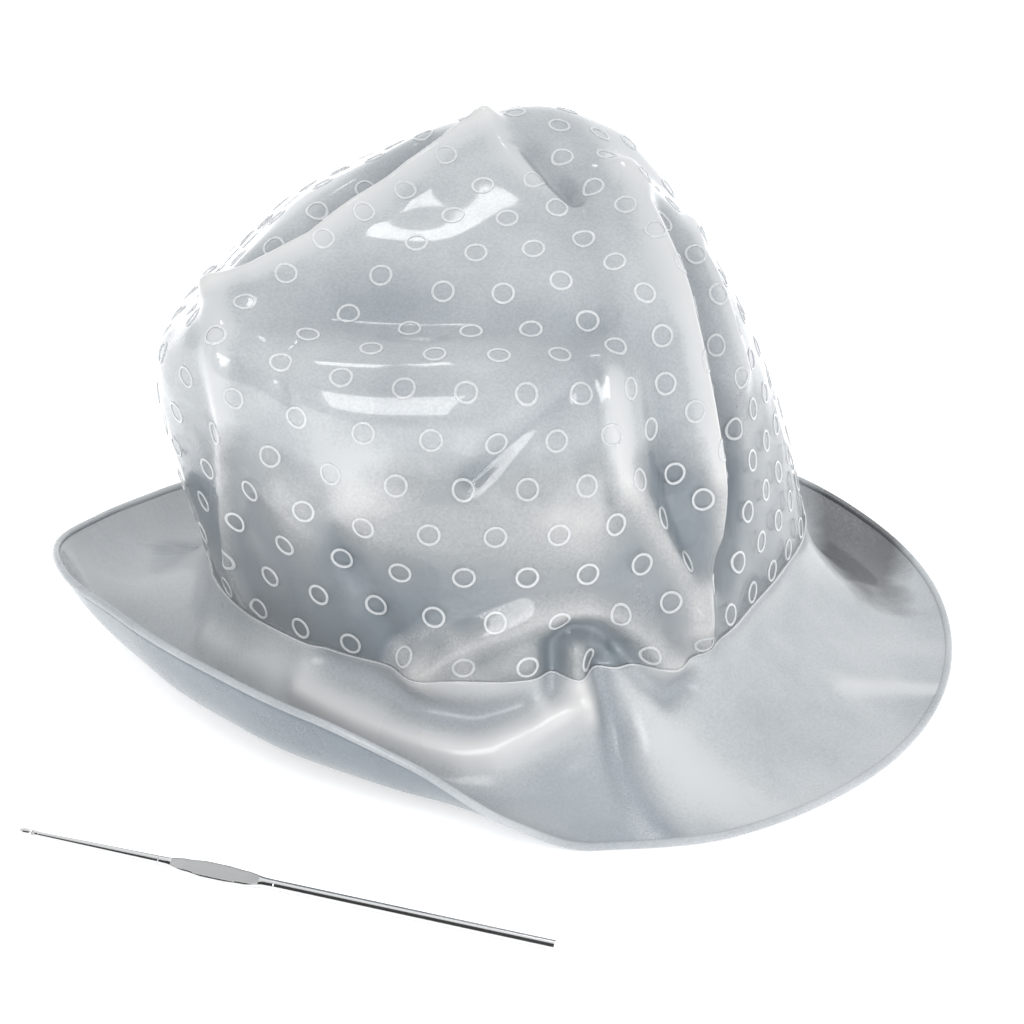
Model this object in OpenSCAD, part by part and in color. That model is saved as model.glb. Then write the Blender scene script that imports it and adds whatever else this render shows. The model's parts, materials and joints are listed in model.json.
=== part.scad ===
// Highlighting cap: a soft silicone cap with a wavy brim and raised ring marks,
// and the steel hook that draws strands of hair through it. Millimetres, +Z up.
// The origin is the centre of the head opening, on the surface the cap stands on.

/* [Cap] */
// Radius of the head opening at the moulded base line
head_r = 90; // [80:1:100]
// Height of the base line above the surface the cap stands on
base_z = 34; // [30:1:40]
// How far the crown leans to the left for each millimetre of height
lean = 0.29; // [0:0.01:0.35]
// Thickness of the silicone
wall_t = 1.5; // [1:0.1:2]
// How far folds and creases stand in or out, as a share of their full depth
crumple = 1; // [0:0.1:1]

/* [Brim] */
// Diameter of the thick bead that runs around the rim
bead_d = 2.6; // [2:0.1:4]
// How far the brim runs straight down the wall before it turns outward
brim_drop = 17; // [12:1:20]
// Width of the raised base line between crown and brim
line_w = 1.2; // [0.8:0.1:2]

/* [Ring marks] */
// Outer diameter of one raised ring
ring_d = 6.6; // [5:0.1:8]
// Thickness of the rib that forms a ring
ring_rib = 0.9; // [0.6:0.1:1.2]
// Distance from ring to ring along a row on the wall
ring_pitch = 16.6; // [15:0.1:20]

/* [Hook] */
// Diameter of the hook's round shank
shank_d = 3; // [2.5:0.1:4]
// Length of the plain round shank
shank_len = 78; // [60:1:90]
// Length of the flattened thumb grip
grip_len = 34; // [25:1:40]
// Width of the thumb grip
grip_w = 5; // [4:0.1:6]
// Thickness of the thumb grip at its middle
grip_t = 1.8; // [1.4:0.1:2.4]
// Length of the tapered neck
neck_len = 36; // [25:1:45]
// Diameter of the neck just behind the hook head
neck_d = 1.5; // [1.2:0.1:2]
// Diameter of the hook head
head_d = 1.9; // [1.7:0.1:2.2]
// Length of the hook head
head_len = 6; // [5:0.5:10]

/* [Hidden] */

silicone = [0.8, 0.83, 0.86, 0.6];
steel = [0.75, 0.76, 0.78];

// Crown shape. Seen from the middle of the base line, the crown is the wall of a
// leaning cylinder cut by flat panels: [azimuth, elevation, distance] of each panel.
// Azimuth 0 is the front, 90 the right; the blend rounds the ridges between panels.
blend = 24;
PANELS = [
    [-6, 67, 111],    // upper front, rises to the apex
    [55, 42, 112],    // upper front right
    [105, 30, 93],    // upper right
    [100, 47, 108],   // top right
    [145, 60, 127],   // top back
    [186, 36, 99],    // upper back
    [-119, 63, 120],  // top left
    [-100, 40, 116],  // upper left
    [-95, -8, 91],    // left wall
    [68, 4, 81]       // right front wall
];

// Folds of the crown: [depth, half width, [[azimuth, elevation], ...]]. A positive
// depth is a ridge, a negative one a valley; each runs along its points.
FOLDS = [
    // ledge
    [-6, 11, [[-42, 52], [-20, 56], [0, 57], [16, 54]]],
    // top left ridge
    [4, 3.5, [[-144, 84], [-93, 80], [-78, 76], [-64, 66], [-60, 59], [-60, 51], [-64, 46]]],
    // behind that ridge
    [-6, 4, [[-106, 78], [-88, 74], [-79, 71], [-71, 65], [-66, 59], [-67, 51]]],
    // left upright ridge
    [2.5, 3, [[-64, 46], [-51, 42], [-48, 37], [-48, 32], [-54, 16], [-56, 9], [-54, 3]]],
    // left shoulder
    [2, 5, [[-70, 37], [-85, 36], [-110, 36]]],
    // furrow by the apex
    [-3.5, 2.6, [[76, 87], [45, 82], [46, 78]]],
    // lip of the furrow
    [1.5, 3, [[-144, 84], [0, 87], [24, 82], [32, 76]]],
    // runs on down
    [-3, 6, [[46, 78], [30, 70], [23, 59], [20, 51]]],
    // slanted ridge
    [3.5, 5, [[20, 50], [19, 42], [20, 34], [24, 28], [32, 15], [36, 2]]],
    // between the ridges
    [-4, 6.5, [[32, 50], [31, 38], [34, 26], [38, 16]]],
    // right ridge
    [4, 5, [[78, 74], [62, 68], [54, 64], [45, 52], [44, 46], [44, 27], [42, 19], [34, 5]]],
    // beyond it
    [-5, 5, [[68, 67], [58, 60], [52, 52], [51, 46], [51, 30], [49, 22], [44, 11]]],
    // far right ridge
    [2.5, 3.5, [[88, 62], [68, 60], [64, 54], [63, 48], [64, 42]]],
    // right shoulder
    [3, 8, [[125, 70], [112, 66]]],
    // left front dent
    [-2.5, 6, [[-36, 32], [-29, 20], [-21, 6]]],
    // front wall bulge
    [3.5, 13, [[-36, 25], [-10, 26], [12, 26]]]
];

// Outline of the brim: [azimuth, rim radius, rim height, dip]. The dip is how far the
// brim sags before it turns up to the rim.
BRIM = [
    [-180, 126, 9, 24.5], [-142, 127, 11, 28], [-120, 127, 17, 30],
    [-105, 129, 23, 22], [-90, 133, 30, 22], [-76, 131, 36, 32],
    [-60, 125, 38, 42], [-43, 123, 37, 44], [-26, 124, 33, 42],
    [-13, 124, 24, 32], [0, 125, 8, 10], [10, 126, 0.5, 1],
    [27, 131, 0.5, 0], [49, 130, 0.5, 0], [75, 129, 1.5, 1],
    [100, 129, 5, 8], [120, 129, 7, 17], [140, 128, 10, 25], [180, 126, 9, 24.5]
];
lip_run = 15;       // the brim's last stretch turns up over this width

// Mesh of the faceted shells
n_around = 72;      // steps around the cap
n_crown = 22;       // steps from the base line to the apex
n_brim = 10;        // steps across the brim
n_tube = 6;         // sides of the bead and of the base line

first_row = 0.35;   // the lowest row sits this share of a row above the base line
row_share = 13.7;   // row spacings from the base line to the apex
wall_rows = 7;      // rows that lie on the wall, each with the same number of rings
wall_count = round(2 * PI * head_r / ring_pitch);
dome_pitch = 15;    // distance from ring to ring in the rows above the wall
phase = -2.7;       // azimuth of a ring in the even rows
arc_step = 3;       // degrees per step when a row's height is measured along the wall

// The hook lies on the surface in front of the cap, its head to the left.
neck_root_d = shank_d * 0.85;
grip_far_w = grip_w * 0.9;   // width of the grip near the neck
sliver = 0.01;               // thickness of a slice that a hull joins to the next
hook_end = [11, -173, shank_d / 2];
hook_turn = 158;    // direction from the plain end to the head
barb_gap = 1.5;     // opening of the hook's mouth along the shank

function total(v) = v * [for (x = v) 1];
function toward(az, el) = [sin(az) * cos(el), -cos(az) * cos(el), sin(el)];
function wall_term(u) = pow(norm([u.x + lean * u.z, u.y]) / head_r, blend);
function panel_term(u, p) = pow(max(0, toward(p[0], p[1]) * u) / p[2], blend);
function reach(u) = pow(wall_term(u) + total([for (p = PANELS) panel_term(u, p)]), -1 / blend);

// Distance from a direction to a fold's path, on a ball of the crown's mean radius
mean_r = 100;
function to_span(u, a, b) =
    let (ab = b - a, t = max(0, min(1, (u - a) * ab / (ab * ab))))
    norm(u - a - t * ab) * mean_r;
function to_path(u, pts) = min([
    for (i = [0 : len(pts) - 2])
        to_span(u, toward(pts[i][0], pts[i][1]), toward(pts[i + 1][0], pts[i + 1][1]))
]);
function fold_push(u, f) = f[0] * exp(-pow(to_path(u, f[2]) / f[1], 2));
function folds(u) = crumple * total([for (f = FOLDS) fold_push(u, f)]);

// Point of the crown, inset by depth under the outer surface
function crown_at(az, el, depth = 0) =
    let (u = toward(az, el))
    u * (reach(u) + folds(u) - depth) + [0, 0, base_z];

// Brim section at one azimuth: a cubic curve from the base line to the rim
function brim_span(az) = [for (i = [0 : len(BRIM) - 2]) if (BRIM[i + 1][0] >= az) i][0];
// Station i, counted on past either end of the list
function station(i) =
    let (last = len(BRIM) - 1)
    i < 0 ? BRIM[last + i] - [360, 0, 0, 0] : i > last ? BRIM[i - last] + [360, 0, 0, 0] : BRIM[i];
function secant(i) = (station(i + 1) - station(i)) / (station(i + 1)[0] - station(i)[0]);
// Slope through a station: level where the slopes beside it disagree in sign
function harmonic(p, q) = p * q <= 0 ? 0 : 2 * p * q / (p + q);
function slope(i) = let (p = secant(i - 1), q = secant(i)) [for (k = [0 : 3]) harmonic(p[k], q[k])];
function brim_row(az) =
    let (i = brim_span(az), a = BRIM[i], b = BRIM[i + 1], width = b[0] - a[0], t = (az - a[0]) / width)
    a * pow(1 - t, 2) * (1 + 2 * t) + b * t * t * (3 - 2 * t)
    + width * (slope(i) * t * pow(1 - t, 2) - slope(i + 1) * t * t * (1 - t));
function brim_curve(az) =
    let (b = brim_row(az), r = norm([crown_at(az, 0).x, crown_at(az, 0).y]))
    [[r, base_z], [r, base_z - brim_drop], [b[1] - lip_run, b[2] - b[3]], [b[1], b[2]]];
function bezier(c, s) =
    c[0] * pow(1 - s, 3) + 3 * c[1] * s * pow(1 - s, 2) + 3 * c[2] * s * s * (1 - s) + c[3] * pow(s, 3);
function bezier_slope(c, s) =
    (c[1] - c[0]) * pow(1 - s, 2) + 2 * (c[2] - c[1]) * s * (1 - s) + (c[3] - c[2]) * s * s;
function brim_at(c, az, s, depth) =
    let (d = bezier_slope(c, s), n = [d.y, -d.x] / norm(d), q = bezier(c, s) + n * depth)
    [q.x * sin(az), -q.x * cos(az), q.y + wall_t * s];

// Closed skin over a grid of points: rings of n points, the last ring joined to the first
function grid_faces(rings, n) = [
    for (j = [0 : rings - 1], i = [0 : n - 1])
        let (a = j * n + i, b = j * n + (i + 1) % n)
        let (c = ((j + 1) % rings) * n + i, d = ((j + 1) % rings) * n + (i + 1) % n)
        for (face = [[a, b, d], [a, d, c]]) face
];
azimuths = [for (i = [0 : n_around - 1]) -180 + 360 * i / n_around];

module swept_around(rings) {
    points = [for (ring = rings) for (p = ring) p];
    polyhedron(points = points, faces = grid_faces(len(rings), n_around), convexity = 8);
}

// A tube of n_tube sides around the cap, along centres given per azimuth
function tube_rings(centres, r) = [
    for (k = [0 : n_tube - 1])
        let (a = 360 * k / n_tube)
        [for (i = [0 : n_around - 1])
            let (c = centres[i], az = azimuths[i])
            c + r * [cos(a) * sin(az), -cos(a) * cos(az), sin(a)]]
];

module crown_shell() {
    top_el = 90 - 90 / n_crown;
    levels = [for (j = [0 : n_crown - 1]) top_el * j / (n_crown - 1)];
    outer = [for (el = levels) for (az = azimuths) crown_at(az, el)];
    inner = [for (el = levels) for (az = azimuths) crown_at(az, el, wall_t)];
    top = [crown_at(0, 90), crown_at(0, 90, wall_t)];
    n = n_around;
    m = n_crown * n;
    last = m - n;
    faces = concat(
        [for (j = [0 : n_crown - 2], i = [0 : n - 1])
            let (a = j * n + i, b = j * n + (i + 1) % n)
            for (f = [[a, a + n, b + n], [a, b + n, b]]) f],
        [for (j = [0 : n_crown - 2], i = [0 : n - 1])
            let (a = m + j * n + i, b = m + j * n + (i + 1) % n)
            for (f = [[a, b + n, a + n], [a, b, b + n]]) f],
        [for (i = [0 : n - 1])
            let (a = i, b = (i + 1) % n)
            for (f = [[a, b, m + b], [a, m + b, m + a]]) f],
        [for (i = [0 : n - 1]) [last + i, 2 * m, last + (i + 1) % n]],
        [for (i = [0 : n - 1]) [m + last + i, m + last + (i + 1) % n, 2 * m + 1]]
    );
    color(silicone) polyhedron(points = concat(outer, inner, top), faces = faces, convexity = 8);
}

module crown_base_line() {
    centres = [for (az = azimuths) crown_at(az, 0) + line_w / 4 * toward(az, 0)];
    color(silicone) swept_around(tube_rings(centres, line_w / 2));
}

module brim() {
    curves = [for (az = azimuths) brim_curve(az)];
    upper = [for (j = [0 : n_brim])
        [for (i = [0 : n_around - 1]) brim_at(curves[i], azimuths[i], j / n_brim, 0)]];
    under = [for (j = [n_brim : -1 : 0])
        [for (i = [0 : n_around - 1]) brim_at(curves[i], azimuths[i], j / n_brim, wall_t)]];
    color(silicone) swept_around(concat(upper, under));
}

module rim_bead() {
    centres = [for (az = azimuths) brim_at(brim_curve(az), az, 1, wall_t / 2)];
    color(silicone) swept_around(tube_rings(centres, bead_d / 2));
}

// Elevation at which a share of the way from base line to apex has been walked
function arc_table(az, el = 0, walked = 0) =
    el >= 90 ? [[walked, 90]] :
    let (next = min(90, el + arc_step))
    let (way = norm(crown_at(az, next) - crown_at(az, el)))
    concat([[walked, el]], arc_table(az, next, walked + way));
function row_elevation(az, row) =
    let (table = arc_table(az), length = table[len(table) - 1][0])
    lookup(length * (row - 1 + first_row) / row_share, table);
// Rings in a row: the same on the wall, then fewer as the dome closes
function mean_radius(row) = total([
    for (az = [0 : 90 : 270])
        let (p = crown_at(az, row_elevation(az, row)))
        norm([p.x, p.y]) / 4
]);
function ring_count(row) =
    row <= wall_rows ? wall_count : max(4, round(2 * PI * mean_radius(row) / dome_pitch));

// Half of the rib stands out of the wall and half is rooted in it
module rib_section() {
    r = (ring_d - ring_rib) / 2;
    h = ring_rib / 2;
    polygon([[r - h, -h], [r + h, -h], [r + h / 2, h], [r - h / 2, h]]);
}

module ring_on(az, el) {
    step = 2;
    p = crown_at(az, el);
    turn = step / max(0.1, cos(el));
    across = crown_at(az + turn, el) - crown_at(az - turn, el);
    up = crown_at(az, el + step) - crown_at(az, el - step);
    n = cross(across, up) / norm(cross(across, up));
    translate(p) rotate([0, acos(n.z), atan2(n.y, n.x)])
        rotate_extrude($fn = 24) rib_section();
}

module ring_row(row) {
    count = ring_count(row);
    shift = phase + (row % 2) * 180 / count;
    color(silicone) for (k = [0 : count - 1]) {
        az = shift + 360 * k / count;
        ring_on(az, row_elevation(az, row));
    }
}

// Hook pieces stand along +X from the plain end, then lie down where the hook is
module laid_down() {
    translate(hook_end) rotate([0, 0, hook_turn]) children();
}

module hook_shank() {
    color(steel) laid_down() rotate([0, 90, 0]) cylinder(d = shank_d, h = shank_len, $fn = 32);
}

module grip_slice(x, w, t) {
    translate([x, 0, 0]) rotate([0, 90, 0]) linear_extrude(height = sliver)
        intersection() {
            circle(d = w, $fn = 32);
            square([t, w], center = true);
        }
}

module hook_thumb_grip() {
    start = shank_len;
    shoulder = grip_len / 4;
    color(steel) laid_down() {
        hull() {
            translate([start, 0, 0]) rotate([0, 90, 0]) cylinder(d = shank_d, h = sliver, $fn = 32);
            grip_slice(start + shoulder, grip_w, grip_t);
        }
        hull() {
            grip_slice(start + shoulder, grip_w, grip_t);
            grip_slice(start + grip_len - shoulder, grip_far_w, grip_t);
        }
        hull() {
            grip_slice(start + grip_len - shoulder, grip_far_w, grip_t);
            translate([start + grip_len - sliver, 0, 0]) rotate([0, 90, 0])
                cylinder(d = neck_root_d, h = sliver, $fn = 32);
        }
    }
}

module hook_neck() {
    color(steel) laid_down() translate([shank_len + grip_len, 0, 0]) rotate([0, 90, 0])
        cylinder(d1 = neck_root_d, d2 = neck_d, h = neck_len, $fn = 32);
}

module hook_head() {
    color(steel) laid_down() translate([shank_len + grip_len + neck_len, 0, 0]) difference() {
        rotate([0, 90, 0]) rotate_extrude($fn = 32) polygon([
            [0, 0], [neck_d / 2, 0], [head_d / 2, head_len * 0.3], [head_d / 2, head_len * 0.7],
            [head_d * 0.35, head_len * 0.93], [0, head_len]
        ]);
        translate([head_len * 0.35, head_d, 0]) rotate([0, 0, -35])
            cube([barb_gap, head_d * 2, head_d * 2], center = true);
    }
}

crown_shell();
crown_base_line();
brim();
rim_bead();
ring_row(1);  // ring_row_01
ring_row(2);  // ring_row_02
ring_row(3);  // ring_row_03
ring_row(4);  // ring_row_04
ring_row(5);  // ring_row_05
ring_row(6);  // ring_row_06
ring_row(7);  // ring_row_07
ring_row(8);  // ring_row_08
ring_row(9);  // ring_row_09
ring_row(10);  // ring_row_10
ring_row(11);  // ring_row_11
ring_row(12);  // ring_row_12
ring_row(13);  // ring_row_13
hook_shank();
hook_thumb_grip();
hook_neck();
hook_head();
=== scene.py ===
"""Highlighting cap of soft translucent silicone, with the steel hook that goes with it.

The crown and brim repeat the surface that the CAD model is built on, at a finer step, with
the creases, the wrinkles around the base line and a slight waviness added. Lengths of the
cap are millimetres until a mesh is made, then metres; the studio is laid out in metres.
"""
import json
import math

import bpy
import numpy as np
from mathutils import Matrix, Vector


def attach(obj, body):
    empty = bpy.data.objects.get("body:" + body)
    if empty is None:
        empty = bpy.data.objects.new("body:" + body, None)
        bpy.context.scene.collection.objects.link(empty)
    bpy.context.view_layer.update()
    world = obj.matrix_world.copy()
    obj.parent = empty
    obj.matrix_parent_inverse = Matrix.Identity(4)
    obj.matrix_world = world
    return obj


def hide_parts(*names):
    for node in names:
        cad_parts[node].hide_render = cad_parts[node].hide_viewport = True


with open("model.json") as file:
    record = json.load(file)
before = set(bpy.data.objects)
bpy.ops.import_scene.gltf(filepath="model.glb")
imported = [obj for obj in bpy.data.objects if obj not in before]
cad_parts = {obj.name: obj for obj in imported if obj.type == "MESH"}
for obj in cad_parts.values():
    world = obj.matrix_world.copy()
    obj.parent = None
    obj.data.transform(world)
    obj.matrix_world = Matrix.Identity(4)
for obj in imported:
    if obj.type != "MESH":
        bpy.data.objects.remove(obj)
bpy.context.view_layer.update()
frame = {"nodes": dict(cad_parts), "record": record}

MM = 0.001

# ---------------------------------------------------------------- camera, light, floor

VIEW_ELEVATION = math.radians(25)
VIEW_DISTANCE = 1.0
VIEW_TARGET = Vector((0.0, 0.0, 0.0415))
BRIGHT_SIDE = (0.75, 0.65, 0.05)    # way to the bright side of the studio
FRONT_LIGHT = 1.05                  # strength of its dim side
BACK_LIGHT = 1.3                    # strength of its bright side
STUDIO_WHITE = (0.97, 0.985, 1.0, 1)
FLOOR_HALF = 4.0
FLOOR_WHITE = (0.93, 0.93, 0.93, 1)
FLOOR_GLOW = 0.45                   # keeps the floor white where the cap shades it
BLACK = (0.01, 0.01, 0.01, 1)
CARD_FROM, CARD_TO = -60, -29       # azimuths that the black card covers
CARD_DISTANCE = 1.4
CARD_HEIGHT = 2.6

# Softboxes: name, place, where it aims, size, watts
SOFTBOXES = [
    ("overhead", (0.0, 0.3, 1.7), (0, 0, 0), (1.6, 1.2), 1.0),
    ("key_top", (-0.125, 0.57, 1.25), (0, 0, 0.1), (0.11, 0.11), 0.26),
    ("front", (-0.25, -1.15, 0.8), (0, 0, 0.09), (0.65, 0.95), 12),
]


def add_camera():
    data = bpy.data.cameras.new("camera")
    data.lens = 120
    data.sensor_width = 36
    camera = bpy.data.objects.new("camera", data)
    back = Vector((0, -math.cos(VIEW_ELEVATION), math.sin(VIEW_ELEVATION)))
    camera.location = VIEW_TARGET + back * VIEW_DISTANCE
    camera.rotation_euler = (-back).to_track_quat("-Z", "Y").to_euler()
    bpy.context.collection.objects.link(camera)
    bpy.context.scene.camera = camera


def add_softbox(name, place, aim, size, power):
    data = bpy.data.lights.new(name, "AREA")
    data.shape = "RECTANGLE"
    data.size, data.size_y = size
    data.energy = power
    light = bpy.data.objects.new(name, data)
    light.location = place
    light.rotation_euler = (Vector(aim) - Vector(place)).to_track_quat("-Z", "Y").to_euler()
    bpy.context.collection.objects.link(light)


def add_world():
    """White studio, brighter behind and to the right than in front and to the left."""
    world = bpy.data.worlds.new("studio")
    world.use_nodes = True
    tree = world.node_tree
    background = tree.nodes["Background"]
    background.inputs["Color"].default_value = STUDIO_WHITE
    place = tree.nodes.new("ShaderNodeTexCoord")
    along = tree.nodes.new("ShaderNodeVectorMath")
    along.operation = "DOT_PRODUCT"
    along.inputs[1].default_value = BRIGHT_SIDE
    tree.links.new(place.outputs["Generated"], along.inputs[0])
    strength = tree.nodes.new("ShaderNodeMapRange")
    strength.inputs["From Min"].default_value = -1
    strength.inputs["From Max"].default_value = 1
    strength.inputs["To Min"].default_value = FRONT_LIGHT
    strength.inputs["To Max"].default_value = BACK_LIGHT
    tree.links.new(along.outputs["Value"], strength.inputs["Value"])
    tree.links.new(strength.outputs["Result"], background.inputs["Strength"])
    bpy.context.scene.world = world
    bpy.context.scene.view_settings.view_transform = "Standard"


def add_floor():
    mesh = bpy.data.meshes.new("floor")
    corners = [(x * FLOOR_HALF, y * FLOOR_HALF, 0) for x, y in ((-1, -1), (1, -1), (1, 1), (-1, 1))]
    mesh.from_pydata(corners, [], [(0, 1, 2, 3)])
    floor = bpy.data.objects.new("floor", mesh)
    bpy.context.collection.objects.link(floor)
    material = bpy.data.materials.new("floor_white")
    material.use_nodes = True
    shader = material.node_tree.nodes["Principled BSDF"]
    shader.inputs["Base Color"].default_value = FLOOR_WHITE
    shader.inputs["Roughness"].default_value = 0.9
    shader.inputs["Specular IOR Level"].default_value = 0.1
    shader.inputs["Emission Color"].default_value = (1, 1, 1, 1)
    shader.inputs["Emission Strength"].default_value = FLOOR_GLOW
    mesh.materials.append(material)


def add_card():
    """Black card to the left of the camera, which the polished hook mirrors as a dark line."""
    points = []
    for az in (CARD_FROM, CARD_TO):
        x = CARD_DISTANCE * math.sin(math.radians(az))
        y = -CARD_DISTANCE * math.cos(math.radians(az))
        points += [(x, y, MM), (x, y, CARD_HEIGHT)]
    mesh = bpy.data.meshes.new("black_card")
    mesh.from_pydata(points, [], [(0, 2, 3, 1)])
    card = bpy.data.objects.new("black_card", mesh)
    bpy.context.collection.objects.link(card)
    material = bpy.data.materials.new("black_card")
    material.use_nodes = True
    material.node_tree.nodes["Principled BSDF"].inputs["Base Color"].default_value = BLACK
    mesh.materials.append(material)


add_camera()
add_world()
add_floor()
for softbox in SOFTBOXES:
    add_softbox(*softbox)
add_card()

# ---------------------------------------------------------------- the cap's surface

HEAD_R = 90.0       # radius of the head opening at the base line
BASE_Z = 34.0       # height of the base line
LEAN = 0.29         # how far the crown leans left for each unit of height
WALL = 1.2          # thickness of the silicone
BRIM_DROP = 17.0    # how far the brim runs straight down before it turns out
LIP_RUN = 15.0      # width of the brim's last stretch
TABLE_GAP = 0.1     # least gap between the brim and the surface it stands on
TABLE_SOFTNESS = 0.8
CAD_WALL = 1.5      # wall thickness in the CAD model, which its brim height allows for
BLEND = 24.0        # sharpness of the ridges between panels
MEAN_R = 100.0      # turns directions into lengths along the crown

# Flat panels of the crown: azimuth (0 front, 90 right), elevation, distance
PANELS = [
    (-6, 67, 111), (55, 42, 112), (105, 30, 93), (100, 47, 108), (145, 60, 127),
    (186, 36, 99), (-119, 63, 120), (-100, 40, 116), (-95, -8, 91), (68, 4, 81),
]

# Folds of the crown: depth (out is positive), half width, path of (azimuth, elevation)
FOLDS = [
    (-6, 11, [(-42, 52), (-20, 56), (0, 57), (16, 54)]),
    (4, 3.5, [(-144, 84), (-93, 80), (-78, 76), (-64, 66), (-60, 59), (-60, 51), (-64, 46)]),
    (-6, 4, [(-106, 78), (-88, 74), (-79, 71), (-71, 65), (-66, 59), (-67, 51)]),
    (2.5, 3, [(-64, 46), (-51, 42), (-48, 37), (-48, 32), (-54, 16), (-56, 9), (-54, 3)]),
    (2, 5, [(-70, 37), (-85, 36), (-110, 36)]),
    (-3.5, 2.6, [(76, 87), (45, 82), (46, 78)]),
    (1.5, 3, [(-144, 84), (0, 87), (24, 82), (32, 76)]),
    (-3, 6, [(46, 78), (30, 70), (23, 59), (20, 51)]),
    (3.5, 5, [(20, 50), (19, 42), (20, 34), (24, 28), (32, 15), (36, 2)]),
    (-4, 6.5, [(32, 50), (31, 38), (34, 26), (38, 16)]),
    (4, 5, [(78, 74), (62, 68), (54, 64), (45, 52), (44, 46), (44, 27), (42, 19), (34, 5)]),
    (-5, 5, [(68, 67), (58, 60), (52, 52), (51, 46), (51, 30), (49, 22), (44, 11)]),
    (2.5, 3.5, [(88, 62), (68, 60), (64, 54), (63, 48), (64, 42)]),
    (3, 8, [(125, 70), (112, 66)]),
    (-2.5, 6, [(-36, 32), (-29, 20), (-21, 6)]),
    (3.5, 13, [(-36, 25), (-10, 26), (12, 26)]),
]

# Fine creases, in the same form
CREASES = [
    (-2.2, 2.6, [(10, 44), (2, 40), (-7, 33)]),           # slanted dent under the ledge
    (-1.8, 2.4, [(16, 47), (17, 40), (18, 30)]),          # upright dent beside it
    (-1.2, 2.4, [(-41, 44), (-36, 38)]),                  # short dent to the left
]

# Brim: azimuth, rim radius, rim height, dip before it turns up to the rim
BRIM = [
    (-180, 126, 9, 24.5), (-142, 127, 11, 28), (-120, 127, 17, 30),
    (-105, 129, 23, 22), (-90, 133, 30, 22), (-76, 131, 36, 32),
    (-60, 125, 38, 42), (-43, 123, 37, 44), (-26, 124, 33, 42),
    (-13, 124, 24, 32), (0, 125, 8, 10), (10, 126, 0.5, 1),
    (27, 131, 0.5, 0), (49, 130, 0.5, 0), (75, 129, 1.5, 1),
    (100, 129, 5, 8), (120, 129, 7, 17), (140, 128, 10, 25), (180, 126, 9, 24.5),
]

# Wrinkles around the base line: depth, half width, path of (azimuth, height along the
# section from the base line, negative on the brim)
SKIRT_STEP = 1.57   # millimetres per degree of azimuth, at the head opening
BRIM_RUN = 48.0     # length of the brim's section
SKIRT_FADE = 40.0   # height over the base line at which the wrinkles have faded out
SKIRT = [
    # arch over the pinched front
    (4.5, 5.5, [(-17, 0), (-12, 6), (-4, 13), (4, 18), (13, 19), (19, 15), (24, 8), (27, 1)]),
    (3.0, 6.0, [(-14, -2), (-4, 0), (2, 5)]),
    # hollow under the arch, and its hooked end to the right
    (-3.9, 3.0, [(7, -4), (7, 9), (10, 14), (15, 13), (19, 7)]),
    (-3.5, 3.6, [(20, 4), (23, -3), (27, -9), (31, -7)]),
    (2.5, 4.5, [(29, -1), (31, -3)]),
    # tongue in the hollow
    (3.5, 3.2, [(11, 8), (12, -4), (13, -12)]),
    # trough that runs out across the brim, and the broad swell beside it
    (-4.5, 4.2, [(15, 1), (16, -8), (17, -15), (17, -26), (18, -44)]),
    (-2.0, 10.0, [(9, -24), (11, -36), (12, -46)]),
    (1.8, 8.0, [(22, -6), (25, -18), (28, -33), (30, -46)]),
    # long low ridge across the left front of the brim, and the hollows beside it
    (2.0, 6.0, [(-64, -15), (-46, -12)]),
    (5.0, 6.0, [(-37, -12), (-22, -16), (-8, -20), (-3, -19), (3, -14), (7, -11), (11, -7)]),
    (-3.0, 3.6, [(-35, -3), (-25, -5), (-16, -9), (-6, -11), (2, -8)]),
    (-1.2, 6.0, [(-30, -27), (-15, -32), (-3, -32), (6, -27)]),
    # crease at the right
    (3.0, 2.5, [(63, -28), (70, -38), (73, -48)]),
]


def toward(az, el):
    """Unit vector for an azimuth and elevation in degrees."""
    az, el = np.radians(az), np.radians(el)
    return np.stack([np.sin(az) * np.cos(el), -np.cos(az) * np.cos(el), np.sin(el) + 0 * az], -1)


def reach(u):
    """Distance from the middle of the base line to the crown's panels, towards u."""
    total = (np.hypot(u[..., 0] + LEAN * u[..., 2], u[..., 1]) / HEAD_R) ** BLEND
    for az, el, distance in PANELS:
        total = total + (np.maximum(u @ toward(az, el), 0) / distance) ** BLEND
    return total ** (-1 / BLEND)


def path_distance(points, path):
    """Distance of each point from the nearest place on a path of straight stretches."""
    best = None
    for a, b in zip(path, path[1:]):
        ab = b - a
        t = np.clip(((points - a) @ ab) / (ab @ ab), 0, 1)
        d = np.linalg.norm(points - a - t[..., None] * ab, axis=-1)
        best = d if best is None else np.minimum(best, d)
    return best


def folds_push(u, folds):
    """How far the given folds push the crown out, towards u."""
    push = 0
    for depth, width, path in folds:
        on_ball = [toward(*p) * MEAN_R for p in path]
        push = push + depth * np.exp(-(path_distance(u * MEAN_R, on_ball) / width) ** 2)
    return push


def crown_push(u):
    return folds_push(u, FOLDS + CREASES)


def skirt_push(az, along):
    """How far the wrinkles around the base line stand out."""
    flat = np.stack([az * SKIRT_STEP, along], -1)
    push = 0
    for depth, width, path in SKIRT:
        points = [np.array([a * SKIRT_STEP, w]) for a, w in path]
        push = push + depth * np.exp(-(path_distance(flat, points) / width) ** 2)
    return push


RIPPLES = [
    (0.30, (0.11, 0.05, 0.07), 0.4), (0.22, (-0.06, 0.13, 0.09), 1.9),
    (0.16, (0.17, -0.10, 0.15), 3.1), (0.12, (0.05, 0.21, -0.19), 5.0),
]


def ripple(p):
    """Slight waviness that all limp silicone has."""
    return sum(h * np.sin(p @ np.array(k) + phase) for h, k, phase in RIPPLES)


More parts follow.
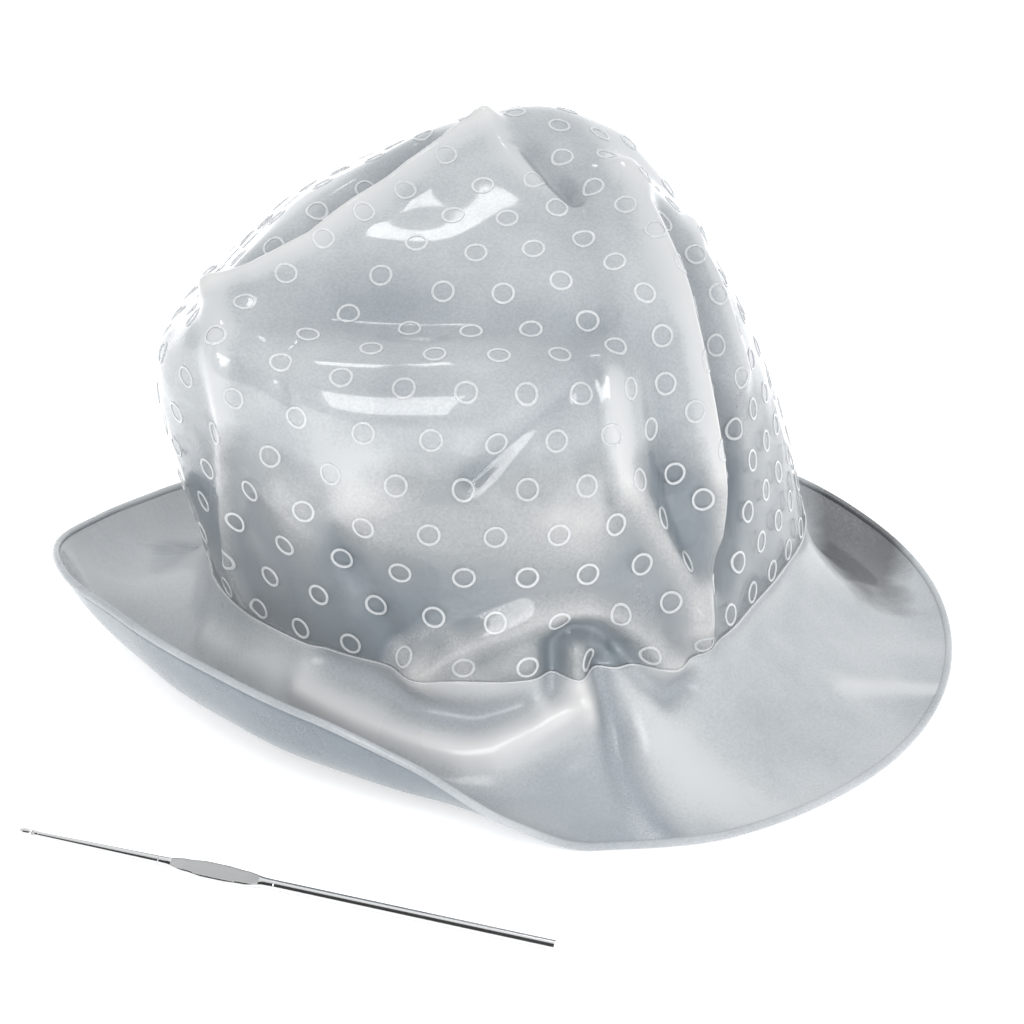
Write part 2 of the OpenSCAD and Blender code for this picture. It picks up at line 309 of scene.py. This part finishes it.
def crown_at(u, depth=0.0):
    """Crown surface point towards u, under the surface by depth."""
    r = reach(u) + crown_push(u)
    az = np.degrees(np.arctan2(u[..., 0], -u[..., 1]))
    height = r * u[..., 2]
    r = r + skirt_push(az, height) * np.exp(-(height / SKIRT_FADE) ** 4)
    r = r + ripple(u * r[..., None])
    return u * (r - depth)[..., None] + np.array([0, 0, BASE_Z])


def harmonic(p, q):
    """Slope through a station between slopes p and q; level where they disagree in sign."""
    same = p * q > 0
    return np.where(same, 2 * p * q / np.where(same, p + q, 1.0), 0.0)


def brim_station(az):
    """Brim outline at each azimuth: a smooth curve through the stations, with no overshoot."""
    turn = np.array([360.0, 0, 0, 0])
    rows = np.array(BRIM, float)
    rows = np.concatenate([rows[-2:-1] - turn, rows, rows[1:2] + turn])
    secant = np.diff(rows, axis=0) / np.diff(rows[:, 0])[:, None]
    slope = harmonic(secant[:-1], secant[1:])
    rows = rows[1:-1]
    i = np.clip(np.searchsorted(rows[:, 0], az, side="left") - 1, 0, len(rows) - 2)
    a, b = rows[i], rows[i + 1]
    width = (b - a)[:, :1]
    t = (az[:, None] - a[:, :1]) / width
    return (
        a * (1 - t) ** 2 * (1 + 2 * t) + b * t * t * (3 - 2 * t)
        + width * (slope[i] * t * (1 - t) ** 2 - slope[i + 1] * t * t * (1 - t))
    )


def above_table(z, lowest):
    """Heights bent upward where they would pass below the lowest that is allowed."""
    return lowest + (z - lowest + np.sqrt((z - lowest) ** 2 + TABLE_SOFTNESS ** 2)) / 2


def brim_grid(az, share, depth=0.0):
    """Brim points for each azimuth and each share of the way from base line to rim."""
    u = toward(az, 0 * az)
    start = reach(u) + crown_push(u)
    row = brim_station(az)
    c = np.stack([
        np.stack([start, BASE_Z + 0 * start], -1),
        np.stack([start, BASE_Z - BRIM_DROP + 0 * start], -1),
        np.stack([row[:, 1] - LIP_RUN, row[:, 2] - row[:, 3]], -1),
        row[:, 1:3],
    ])[:, None]
    s = share[:, None, None]
    q = (
        c[0] * (1 - s) ** 3 + 3 * c[1] * s * (1 - s) ** 2
        + 3 * c[2] * s * s * (1 - s) + c[3] * s ** 3
    )
    slope = (c[1] - c[0]) * (1 - s) ** 2 + 2 * (c[2] - c[1]) * s * (1 - s) + (c[3] - c[2]) * s * s
    inward = np.stack([slope[..., 1], -slope[..., 0]], -1)
    inward /= np.linalg.norm(inward, axis=-1)[..., None]
    across, lengthwise = np.meshgrid(az, share)
    push = skirt_push(across, -lengthwise * BRIM_RUN) * (1 - lengthwise ** 4)
    base = toward(across, 0 * across) * q[..., :1] + np.array([0, 0, 1.0]) * q[..., 1:]
    push = push + ripple(base - np.array([0, 0, BASE_Z])) * (1 - lengthwise ** 3)
    q = q + inward * (depth - push)[..., None]
    z = above_table(q[..., 1] + CAD_WALL * lengthwise, TABLE_GAP + WALL - depth)
    flat = toward(across, 0 * across)
    return np.stack([flat[..., 0] * q[..., 0], flat[..., 1] * q[..., 0], z], -1)


# ---------------------------------------------------------------- mesh helpers

def new_mesh(name, points, faces, body):
    """Smooth mesh of points in millimetres, which rides on a body."""
    mesh = bpy.data.meshes.new(name)
    mesh.from_pydata((np.asarray(points) * MM).tolist(), [], faces)
    mesh.validate()
    mesh.polygons.foreach_set("use_smooth", [True] * len(mesh.polygons))
    piece = bpy.data.objects.new(name, mesh)
    bpy.context.collection.objects.link(piece)
    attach(piece, body)
    return piece


def band_faces(first, second, n):
    """Quads between two closed rows of n points."""
    return [
        (first + i, first + (i + 1) % n, second + (i + 1) % n, second + i)
        for i in range(n)
    ]


def loft(rows, loop=False):
    """Points and quads of a stack of closed rows; with loop the last joins the first."""
    n = len(rows[0])
    points = np.concatenate(rows)
    faces = []
    for j in range(len(rows) - 1):
        faces += band_faces(j * n, (j + 1) * n, n)
    if loop:
        faces += band_faces((len(rows) - 1) * n, 0, n)
    return points, faces


N_AROUND = 420           # points around each row of the crown and brim
CROWN_ROWS = 116
CROWN_TOP = 89           # elevation of the last row, below the tip
BRIM_ROWS = 46
FOLD_FULL = 6.0          # fold height at which a ridge is painted lightest and a hollow darkest
RIDGE_WHITENING_AND_HIGHLIGHT = 1.4    # how strongly the crown's gentler ridges are whitened and given painted highlight, against the brim's
HOLLOW_CLEARING_AND_SHADE = 0.25   # how strongly its hollows clear and take painted shade
AZIMUTHS = -180 + 360 * np.arange(N_AROUND) / N_AROUND


def note_folds(piece, push):
    """Keeps, at each vertex, how far folds lift it, for the material to paint ridges lighter
    (whitening and painted highlight) and hollows darker (painted shade) by.
    """
    attribute = piece.data.attributes.new("fold", "FLOAT", "POINT")
    attribute.data.foreach_set("value", np.clip(np.asarray(push) / FOLD_FULL, -1, 1))


def build_crown():
    """Outer and inner wall of the crown, joined at the base line and closed by two tips."""
    elevations = np.linspace(0, CROWN_TOP, CROWN_ROWS)
    across, up = np.meshgrid(AZIMUTHS, elevations)
    u = toward(across, up)
    outer, inner = crown_at(u), crown_at(u, WALL)
    top = toward(np.array([0.0]), np.array([90.0]))
    rows = list(inner[::-1]) + list(outer)
    points, faces = loft(rows)
    tips = np.concatenate([crown_at(top, WALL), crown_at(top)])
    count = len(points)
    last = count - N_AROUND
    inner_count = (CROWN_ROWS - 1) * N_AROUND
    inside = [1] * inner_count + [0] * (len(faces) - inner_count)
    faces += [((i + 1) % N_AROUND, i, count) for i in range(N_AROUND)]
    faces += [(last + i, last + (i + 1) % N_AROUND, count + 1) for i in range(N_AROUND)]
    inside += [1] * N_AROUND + [0] * N_AROUND
    piece = new_mesh("crown", np.concatenate([points, tips]), faces, "cap")
    piece.data.polygons.foreach_set("material_index", inside)
    # Fold heights for the colour: ridges painted lighter (whitening and painted highlight), hollows
    # painted darker (painted shade)
    lift = crown_push(u)
    lift = lift * np.where(lift > 0, RIDGE_WHITENING_AND_HIGHLIGHT, HOLLOW_CLEARING_AND_SHADE)
    lift = (lift + skirt_push(across, reach(u) * u[..., 2])).reshape(-1)
    note_folds(piece, np.concatenate([lift[::-1], lift, [0, 0]]))
    return piece


def build_brim():
    """Upper and under side of the brim, joined at the base line and at the rim."""
    shares = np.linspace(0, 1, BRIM_ROWS)
    outer, inner = brim_grid(AZIMUTHS, shares), brim_grid(AZIMUTHS, shares, WALL)
    rows = list(outer[::-1]) + list(inner)
    points, faces = loft(rows, loop=True)
    outer_count = BRIM_ROWS * N_AROUND
    piece = new_mesh("brim", points, faces, "cap")
    inside = [0] * outer_count + [1] * (len(faces) - outer_count)
    piece.data.polygons.foreach_set("material_index", inside)
    across, lengthwise = np.meshgrid(AZIMUTHS, shares)
    # Wrinkle heights for the colour: ridges painted lighter (whitening and painted highlight),
    # hollows painted darker (painted shade)
    lift = skirt_push(across, -lengthwise * BRIM_RUN)
    note_folds(piece, np.concatenate([lift[::-1].reshape(-1), lift.reshape(-1)]))
    return piece


def tube_around(name, centres, radius, sides=10):
    """A closed tube along a closed line of centres."""
    ahead = np.roll(centres, -1, axis=0) - np.roll(centres, 1, axis=0)
    ahead /= np.linalg.norm(ahead, axis=1)[:, None]
    out = np.cross(ahead, [0, 0, 1.0])
    out /= np.linalg.norm(out, axis=1)[:, None]
    up = np.cross(out, ahead)
    rows = []
    for k in range(sides):
        a = 2 * math.pi * k / sides
        rows.append(centres + radius * (math.cos(a) * out + math.sin(a) * up))
    points, faces = loft(rows, loop=True)
    return new_mesh(name, points, faces, "cap")


BEAD_R = 1.15      # radius of the rim bead
LINE_R = 0.3       # radius of the moulded base line
LINE_DEPTH = 0.1   # how far its middle lies under the surface


def build_rim_bead():
    centres = brim_grid(AZIMUTHS, np.array([1.0]), WALL / 2)[0]
    return tube_around("rim_bead", centres, BEAD_R)


def build_base_line():
    centres = crown_at(toward(AZIMUTHS, 0 * AZIMUTHS), LINE_DEPTH)
    return tube_around("crown_base_line", centres, LINE_R, sides=8)


# ---------------------------------------------------------------- ring marks

ROWS = 13
FIRST_ROW = 0.35     # height of the lowest row over the base line, as a share of a row
ROW_SHARE = 13.7     # row spacings from base line to apex
WALL_ROWS = 7        # rows with the full number of rings
WALL_COUNT = 34      # rings in each of them
FEWEST_RINGS = 4
PHASE = -2.7         # azimuth of the first ring of the even rows
RING_PITCH = 15.0    # between rings of the rows on the dome
RING_R = 2.85        # radius of a ring's centre line
RING_TURNS = 36      # points along a ring
RIB_W = 0.8
RIB_H = 0.26
# Section of the rib as shares of its width and height: two fine edges and a shallow groove
RIB_SECTION = [
    (-0.5, -0.3), (-0.46, 0.6), (-0.34, 1.0), (-0.12, 0.65),
    (0.12, 0.65), (0.34, 1.0), (0.46, 0.6), (0.5, -0.3),
]


def cad_crown(u):
    """Crown surface of the CAD model, which the rings are set out on."""
    return u * (reach(u) + folds_push(u, FOLDS))[..., None] + np.array([0, 0, BASE_Z])


def row_elevation(az, row):
    """Elevation of a row where the wall has been walked up from the base line."""
    el = np.arange(0, 91, 3.0)
    points = cad_crown(toward(az + 0 * el, el))
    walked = np.concatenate([[0], np.cumsum(np.linalg.norm(np.diff(points, axis=0), axis=1))])
    return np.interp(walked[-1] * (row - 1 + FIRST_ROW) / ROW_SHARE, walked, el)


def ring_count(row):
    if row <= WALL_ROWS:
        return WALL_COUNT
    quarter = [0.0, 90.0, 180.0, 270.0]
    at = [cad_crown(toward(np.array(az), np.array(row_elevation(az, row)))) for az in quarter]
    mean = np.mean([math.hypot(p[0], p[1]) for p in at])
    return max(FEWEST_RINGS, round(2 * math.pi * mean / RING_PITCH))


def surface_frame(u):
    """Point of the crown towards u, with two directions along it and its normal."""
    step = 0.01
    side = np.cross([0, 0, 1.0], u)
    side /= np.linalg.norm(side)
    up = np.cross(u, side)
    spread = np.stack([u, u + side * step, u - side * step, u + up * step, u - up * step])
    spread /= np.linalg.norm(spread, axis=1)[:, None]
    p = crown_at(spread)
    along = p[1] - p[2]
    along /= np.linalg.norm(along)
    normal = np.cross(along, p[3] - p[4])
    normal /= np.linalg.norm(normal)
    return p[0], along, np.cross(normal, along), normal


def ring_points(u):
    """Rib of one ring, laid over the crown: rows of points around its section."""
    centre, along, up, normal = surface_frame(u)
    base = np.array([0, 0, BASE_Z])
    t = 2 * math.pi * np.arange(RING_TURNS) / RING_TURNS
    rows = []
    for x, h in RIB_SECTION:
        r = RING_R + x * RIB_W
        p = centre + r * (np.cos(t)[:, None] * along + np.sin(t)[:, None] * up)
        q = p - base
        q = q / np.linalg.norm(q, axis=1)[:, None]
        rows.append(crown_at(q) + normal * h * RIB_H)
    return rows


def build_ring_row(row):
    count = ring_count(row)
    shift = PHASE + (row % 2) * 180 / count
    points, faces = [], []
    for k in range(count):
        az = shift + 360 * k / count
        u = toward(np.array(az), np.array(row_elevation(az, row)))
        ring, quads = loft(ring_points(u), loop=True)
        start = sum(len(p) for p in points)
        faces += [tuple(i + start for i in quad) for quad in quads]
        points.append(ring)
    name = f"ring_row_{row:02d}"
    piece = new_mesh(name + "_ribs", np.concatenate(points), faces, "cap")
    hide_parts(name)
    return piece


# ---------------------------------------------------------------- hook details

SHANK_LEN = 78.0     # from the plain end to the thumb grip
GRIP_LEN = 34.0
NECK_LEN = 36.0
DISH = 0.2           # depth of the shallow thumb dish
DISH_SHARE = 0.75    # share of the grip's width that it takes
STEEL_SIDES = 48     # points around the grip
STEEL_ROWS = 90
HEAD_SIDES = 40
HEAD_ROWS = 80
UP = np.array([0, 0, 1.0])

GRIP_ROLL = 30.0     # degrees that the grip's upper face is turned towards the front
BLASTED_FROM, BLASTED_TO = 4.5, 30.0    # stretch of the grip with matt faces
BLASTED_SHARE = 0.86     # share of its width that is matt

# Grip sections: distance along it, half width, half thickness, squareness
GRIP = [
    (0, 1.5, 1.5, 2), (3, 1.55, 1.45, 2), (9, 2.2, 0.98, 4), (15, 2.5, 0.9, 5),
    (20, 2.5, 0.9, 5), (26, 2.0, 0.98, 4), (31.5, 1.35, 1.32, 2), (34, 1.275, 1.275, 2),
]

# Head sections: distance along it, radius, how deep the mouth cuts in, backward lean
HEAD = [
    (0, 0.75, 0, 0), (0.8, 0.8, 0, 0), (1.4, 0.88, 0.75, 0), (2.4, 0.94, 1.05, 0.3),
    (2.7, 0.95, 1.0, 0.9), (2.9, 0.95, 0.15, 0.9), (3.2, 0.95, 0, 0.3), (4.4, 0.93, 0, 0),
    (5.2, 0.7, 0, 0), (5.7, 0.42, 0, 0), (6.0, 0.08, 0, 0),
]


def between(stations, x):
    """Station values at x, eased from one station to the next."""
    rows = np.array(stations, float)
    i = int(np.clip(np.searchsorted(rows[:, 0], x) - 1, 0, len(rows) - 2))
    t = (x - rows[i, 0]) / (rows[i + 1, 0] - rows[i, 0])
    t = t * t * (3 - 2 * t)
    return rows[i] + (rows[i + 1] - rows[i]) * t


def hook_axes():
    """Plain end of the hook, its direction towards the head and its sideways direction."""
    mount = [m for m in frame["record"]["mounts"] if m["name"] == "hook_handle_end"][0]
    ahead = -np.array(mount["axis"], float)
    ahead /= np.linalg.norm(ahead)
    return np.array(mount["pos_m"], float) / MM, ahead, np.cross(UP, ahead)


def capped_loft(name, rows, node_name):
    """Closed mesh through a row of sections, which replaces a node of the hook."""
    points, faces = loft(rows)
    n = len(rows[0])
    faces.append(tuple(range(n - 1, -1, -1)))
    faces.append(tuple(range(len(points) - n, len(points))))
    piece = new_mesh(name, points, faces, "hook")
    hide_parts(node_name)
    return piece


def build_grip():
    """Flattened thumb grip with a shallow dish and a matt face on both sides."""
    end, ahead, side = hook_axes()
    roll = math.radians(GRIP_ROLL)
    rows, matt = [], []
    a = 2 * np.pi * np.arange(STEEL_SIDES) / STEEL_SIDES
    for x in np.linspace(0, GRIP_LEN, STEEL_ROWS):
        _, wide, thick, square = between(GRIP, x)
        r = np.abs(np.cos(a) / wide) ** square + np.abs(np.sin(a) / thick) ** square
        r = r ** (-1 / square)
        across, up = r * np.cos(a), r * np.sin(a)
        flatness = np.clip((square - 2) / 3, 0, 1)
        middle = np.clip(1 - (across / (DISH_SHARE * wide)) ** 2, 0, 1)
        up = up - np.sign(up) * DISH * flatness * middle
        turned_across = across * math.cos(roll) + up * math.sin(roll)
        turned_up = up * math.cos(roll) - across * math.sin(roll)
        centre = end + ahead * (SHANK_LEN + x)
        rows.append(centre + turned_across[:, None] * side + turned_up[:, None] * UP)
        flat_face = BLASTED_FROM < x < BLASTED_TO
        matt += [int(flat_face and abs(w) < BLASTED_SHARE * wide) for w in across]
    piece = capped_loft("hook_grip_dished", rows, "hook_thumb_grip")
    caps = [0] * (len(piece.data.polygons) - len(matt) + len(a))
    piece.data.polygons.foreach_set("material_index", matt[:-len(a)] + caps)
    return piece


def build_hook_head():
    """Head with a mouth cut into its side and a lip that leans back over it."""
    end, ahead, side = hook_axes()
    rows = []
    a = 2 * np.pi * np.arange(HEAD_SIDES) / HEAD_SIDES
    for x in np.linspace(0, HEAD[-1][0], HEAD_ROWS):
        _, radius, cut, lean = between(HEAD, x)
        across, up = radius * np.cos(a), radius * np.sin(a)
        deep = np.minimum(across, radius - cut)
        back = lean * np.clip(across / radius, 0, 1)
        centre = end + ahead * (SHANK_LEN + GRIP_LEN + NECK_LEN)
        along = (x - back)[:, None] * ahead
        rows.append(centre + along + deep[:, None] * side + up[:, None] * UP)
    return capped_loft("hook_barbed_head", rows, "hook_head")


# ---------------------------------------------------------------- materials

IOR = 1.41
COAT_ROUGHNESS = 0.05
CLOUD_SCALE = 26.0      # broad unevenness of the silicone
DUST_SCALE = 1300.0     # fine dust on it
NOISE_LOW, NOISE_HIGH = 0.3, 0.7
FINE_LOW, FINE_HIGH = 0.35, 0.65
FACING_BLEND = 0.35
PATCHY = 0.10           # how much the clouds change its opacity
DUSTY = 0.05            # how much the dust does
FOLD_MILK = 0.5         # how much more opaque a full ridge is, and how much clearer a hollow
STAIN = 0.08            # how much the clouds change its colour
FADE_FROM, FADE_TO = 0.080, 0.098    # heights in metres between which it gets less clear
FADE_UNEVEN = 0.008     # how far the clouds shift those heights
GLOSS_FROM, GLOSS_TO = 0.24, 0.36    # its roughness

# Patch of painted shade at the back right of the brim, where the floor beneath it lies in shadow,
# in metres
SHADE_PATCH_CENTRE = (0.108, 0.045, 0.008)
SHADE_PATCH_SIZE = (0.016, 0.038, 0.03)
SHADE_PATCH_RAGGED = 0.5       # how far the clouds shift its edge, as a share of its size
SHADE_PATCH_EDGE = 0.6, 1.2
SHADE_PATCH_GREY = (0.25, 0.25, 0.25)
WHITE = (1, 1, 1)

SCRATCH_SCALE = 600.0
SCRATCH_DEPTH = 0.0001
SCRATCH_STRENGTH = 0.1


def link(tree, a, out, b, into):
    tree.links.new(a.outputs[out], b.inputs[into])


def node(tree, kind, **values):
    made = tree.nodes.new(kind)
    for key, value in values.items():
        if hasattr(made, key):
            setattr(made, key, value)
        else:
            made.inputs[key.replace("_", " ").title()].default_value = value
    return made


def map_range(tree, source, out, low, high, to_low, to_high):
    made = tree.nodes.new("ShaderNodeMapRange")
    made.inputs["From Min"].default_value = low
    made.inputs["From Max"].default_value = high
    made.inputs["To Min"].default_value = to_low
    made.inputs["To Max"].default_value = to_high
    link(tree, source, out, made, "Value")
    return made


def add(tree, a, b, clamp=False):
    made = node(tree, "ShaderNodeMath", operation="ADD", use_clamp=clamp)
    tree.links.new(a, made.inputs[0])
    tree.links.new(b, made.inputs[1])
    return made


def mix_colours(tree, factor, first, second):
    made = node(tree, "ShaderNodeMix", data_type="RGBA")
    sockets = {s.name: s for s in made.inputs if s.type == "RGBA"}
    sockets["A"].default_value = (*first, 1)
    sockets["B"].default_value = (*second, 1)
    tree.links.new(factor, made.inputs["Factor"])
    return [s for s in made.outputs if s.type == "RGBA"][0]


def painted_shade_patch(tree, place, cloud):
    """How far the surface lies inside the patch of painted shade at the back right of the brim."""
    offset = node(tree, "ShaderNodeVectorMath", operation="SUBTRACT")
    offset.inputs[1].default_value = SHADE_PATCH_CENTRE
    link(tree, place, "Object", offset, 0)
    scaled = node(tree, "ShaderNodeVectorMath", operation="DIVIDE")
    scaled.inputs[1].default_value = SHADE_PATCH_SIZE
    link(tree, offset, "Vector", scaled, 0)
    far = node(tree, "ShaderNodeVectorMath", operation="LENGTH")
    link(tree, scaled, "Vector", far, 0)
    ragged = map_range(tree, cloud, "Fac", NOISE_LOW, NOISE_HIGH, -SHADE_PATCH_RAGGED, SHADE_PATCH_RAGGED)
    edge = add(tree, far.outputs["Value"], ragged.outputs["Result"])
    return map_range(tree, edge, "Value", *SHADE_PATCH_EDGE, 1.0, 0.0)


def silicone_material(name, hollow, ridge, clear, milky, coat, low_clear=0.0, shade_patch=False):
    """Translucent silicone: clearer face on, milkier at glancing angles, slightly dusty.

    hollow and ridge are its colours at the bottom and the top of a fold, the hollow's a painted
    shade and the ridge's lighter for whitening and a painted highlight; clear and milky how opaque
    it is face on and at a glancing angle; coat is how glossy its skin is; low_clear is how much
    clearer it gets towards the brim; the last argument asks for a patch of painted shade at the
    back right of the brim."""
    material = bpy.data.materials.new(name)
    material.use_nodes = True
    tree = material.node_tree
    shader = tree.nodes["Principled BSDF"]
    shader.inputs["IOR"].default_value = IOR
    shader.inputs["Coat Weight"].default_value = coat
    shader.inputs["Coat Roughness"].default_value = COAT_ROUGHNESS
    place = tree.nodes.new("ShaderNodeTexCoord")
    cloud = node(tree, "ShaderNodeTexNoise", scale=CLOUD_SCALE, detail=3.0)
    dust = node(tree, "ShaderNodeTexNoise", scale=DUST_SCALE, detail=2.0)
    for texture in (cloud, dust):
        link(tree, place, "Object", texture, "Vector")
    height = tree.nodes.new("ShaderNodeSeparateXYZ")
    link(tree, place, "Object", height, "Vector")
    facing = node(tree, "ShaderNodeLayerWeight", blend=FACING_BLEND)
    fold = node(tree, "ShaderNodeAttribute", attribute_name="fold")
    mist = map_range(tree, facing, "Facing", 0.0, 1.0, clear, milky)
    patches = map_range(tree, cloud, "Fac", FINE_LOW, FINE_HIGH, -PATCHY, PATCHY)
    grain = map_range(tree, dust, "Fac", FINE_LOW, FINE_HIGH, -DUSTY, DUSTY)
    uneven = map_range(tree, cloud, "Fac", NOISE_LOW, NOISE_HIGH, -FADE_UNEVEN, FADE_UNEVEN)
    level = add(tree, height.outputs["Z"], uneven.outputs["Result"])
    fade = map_range(tree, level, "Value", FADE_FROM, FADE_TO, -low_clear, 0.0)
    opacity = add(tree, mist.outputs["Result"], patches.outputs["Result"])
    opacity = add(tree, opacity.outputs[0], grain.outputs["Result"])
    opacity = add(tree, opacity.outputs[0], fade.outputs["Result"])
    thicker = map_range(tree, fold, "Fac", -1.0, 1.0, -FOLD_MILK, FOLD_MILK)
    opacity = add(tree, opacity.outputs[0], thicker.outputs["Result"], clamp=True)
    stain = map_range(tree, cloud, "Fac", NOISE_LOW, NOISE_HIGH, -STAIN, STAIN)
    # The fold sets the colour: hollows painted darker as shade, ridges painted lighter as whitening
    # and highlight; the clouds add stains
    lifted = map_range(tree, fold, "Fac", -1.0, 1.0, 0.0, 1.0)
    whitening_and_painted_light = add(tree, lifted.outputs["Result"], stain.outputs["Result"], clamp=True)
    colour = mix_colours(tree, whitening_and_painted_light.outputs["Value"], hollow, ridge)
    # Painted shade: the brim's colour is darkened to grey in a ragged patch at its back right
    if shade_patch:
        shade_amount = painted_shade_patch(tree, place, cloud)
        grey = mix_colours(tree, shade_amount.outputs["Result"], WHITE, SHADE_PATCH_GREY)
        shaded_colour = node(tree, "ShaderNodeMix", data_type="RGBA", blend_type="MULTIPLY")
        shaded_colour.inputs["Factor"].default_value = 1.0
        first, second = [socket for socket in shaded_colour.inputs if socket.type == "RGBA"]
        tree.links.new(colour, first)
        tree.links.new(grey, second)
        colour = [socket for socket in shaded_colour.outputs if socket.type == "RGBA"][0]
    link(tree, opacity, "Value", shader, "Alpha")
    tree.links.new(colour, shader.inputs["Base Color"])
    gloss = map_range(tree, cloud, "Fac", NOISE_LOW, NOISE_HIGH, GLOSS_FROM, GLOSS_TO)
    link(tree, gloss, "Result", shader, "Roughness")
    return material


def steel_material(name, grey, smoothest, roughest):
    """Steel with fine scratches, which also vary its roughness."""
    material = bpy.data.materials.new(name)
    material.use_nodes = True
    tree = material.node_tree
    shader = tree.nodes["Principled BSDF"]
    shader.inputs["Metallic"].default_value = 1.0
    shader.inputs["Base Color"].default_value = (grey, grey, grey, 1)
    place = tree.nodes.new("ShaderNodeTexCoord")
    scratches = node(tree, "ShaderNodeTexNoise", scale=SCRATCH_SCALE, detail=4.0)
    link(tree, place, "Object", scratches, "Vector")
    rough = node(tree, "ShaderNodeMapRange")
    rough.inputs["To Min"].default_value = smoothest
    rough.inputs["To Max"].default_value = roughest
    link(tree, scratches, "Fac", rough, "Value")
    link(tree, rough, "Result", shader, "Roughness")
    bump = node(tree, "ShaderNodeBump", strength=SCRATCH_STRENGTH, distance=SCRATCH_DEPTH)
    link(tree, scratches, "Fac", bump, "Height")
    link(tree, bump, "Normal", shader, "Normal")
    return material


def dress(piece, *materials):
    """Gives a piece its materials, in the order that its faces count them."""
    for material in materials:
        piece.data.materials.append(material)


# ---------------------------------------------------------------- build

crown = build_crown()
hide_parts("crown_shell")
brim = build_brim()
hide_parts("brim")
bead = build_rim_bead()
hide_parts("rim_bead")
base_line = build_base_line()
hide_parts("crown_base_line")
rings = [build_ring_row(row) for row in range(1, ROWS + 1)]

# Each silicone's hollow colour is painted shade, and its ridge colour is whitening with painted
# highlight
skin = silicone_material(
    "silicone_skin", hollow=(0.195, 0.235, 0.27), ridge=(0.47, 0.47, 0.465),
    clear=0.86, milky=0.97, coat=1.0, low_clear=0.66)
# Inside faces of crown and brim: the same silicone in much darker colours, painted shade for the
# dim inside of the cap
shaded_lining = silicone_material(
    "silicone_lining_painted_shade", hollow=(0.12, 0.15, 0.18), ridge=(0.18, 0.21, 0.23),
    clear=0.8, milky=0.95, coat=0.5)
brim_skin = silicone_material(
    "silicone_brim", hollow=(0.265, 0.31, 0.35), ridge=(0.52, 0.515, 0.51),
    clear=0.80, milky=0.95, coat=0.2, shade_patch=True)
# Ribs of the rings and the base line: lighter than the skin, partly milkier thick silicone and
# partly painted highlight on their edges
rib = silicone_material(
    "silicone_rib", hollow=(0.50, 0.52, 0.54), ridge=(0.66, 0.67, 0.68),
    clear=0.7, milky=0.97, coat=1.0)
dress(crown, skin, shaded_lining)
dress(brim, brim_skin, shaded_lining)
dress(bead, brim_skin)
for piece in [base_line] + rings:
    dress(piece, rib)

steel = steel_material("polished_steel", grey=0.59, smoothest=0.05, roughest=0.16)
blasted = steel_material("blasted_steel", grey=0.40, smoothest=0.42, roughest=0.6)
dress(build_grip(), steel, blasted)
dress(build_hook_head(), steel)
for name in ("hook_shank", "hook_neck"):
    part = frame["nodes"][name]
    for slot in part.material_slots:
        slot.material = steel
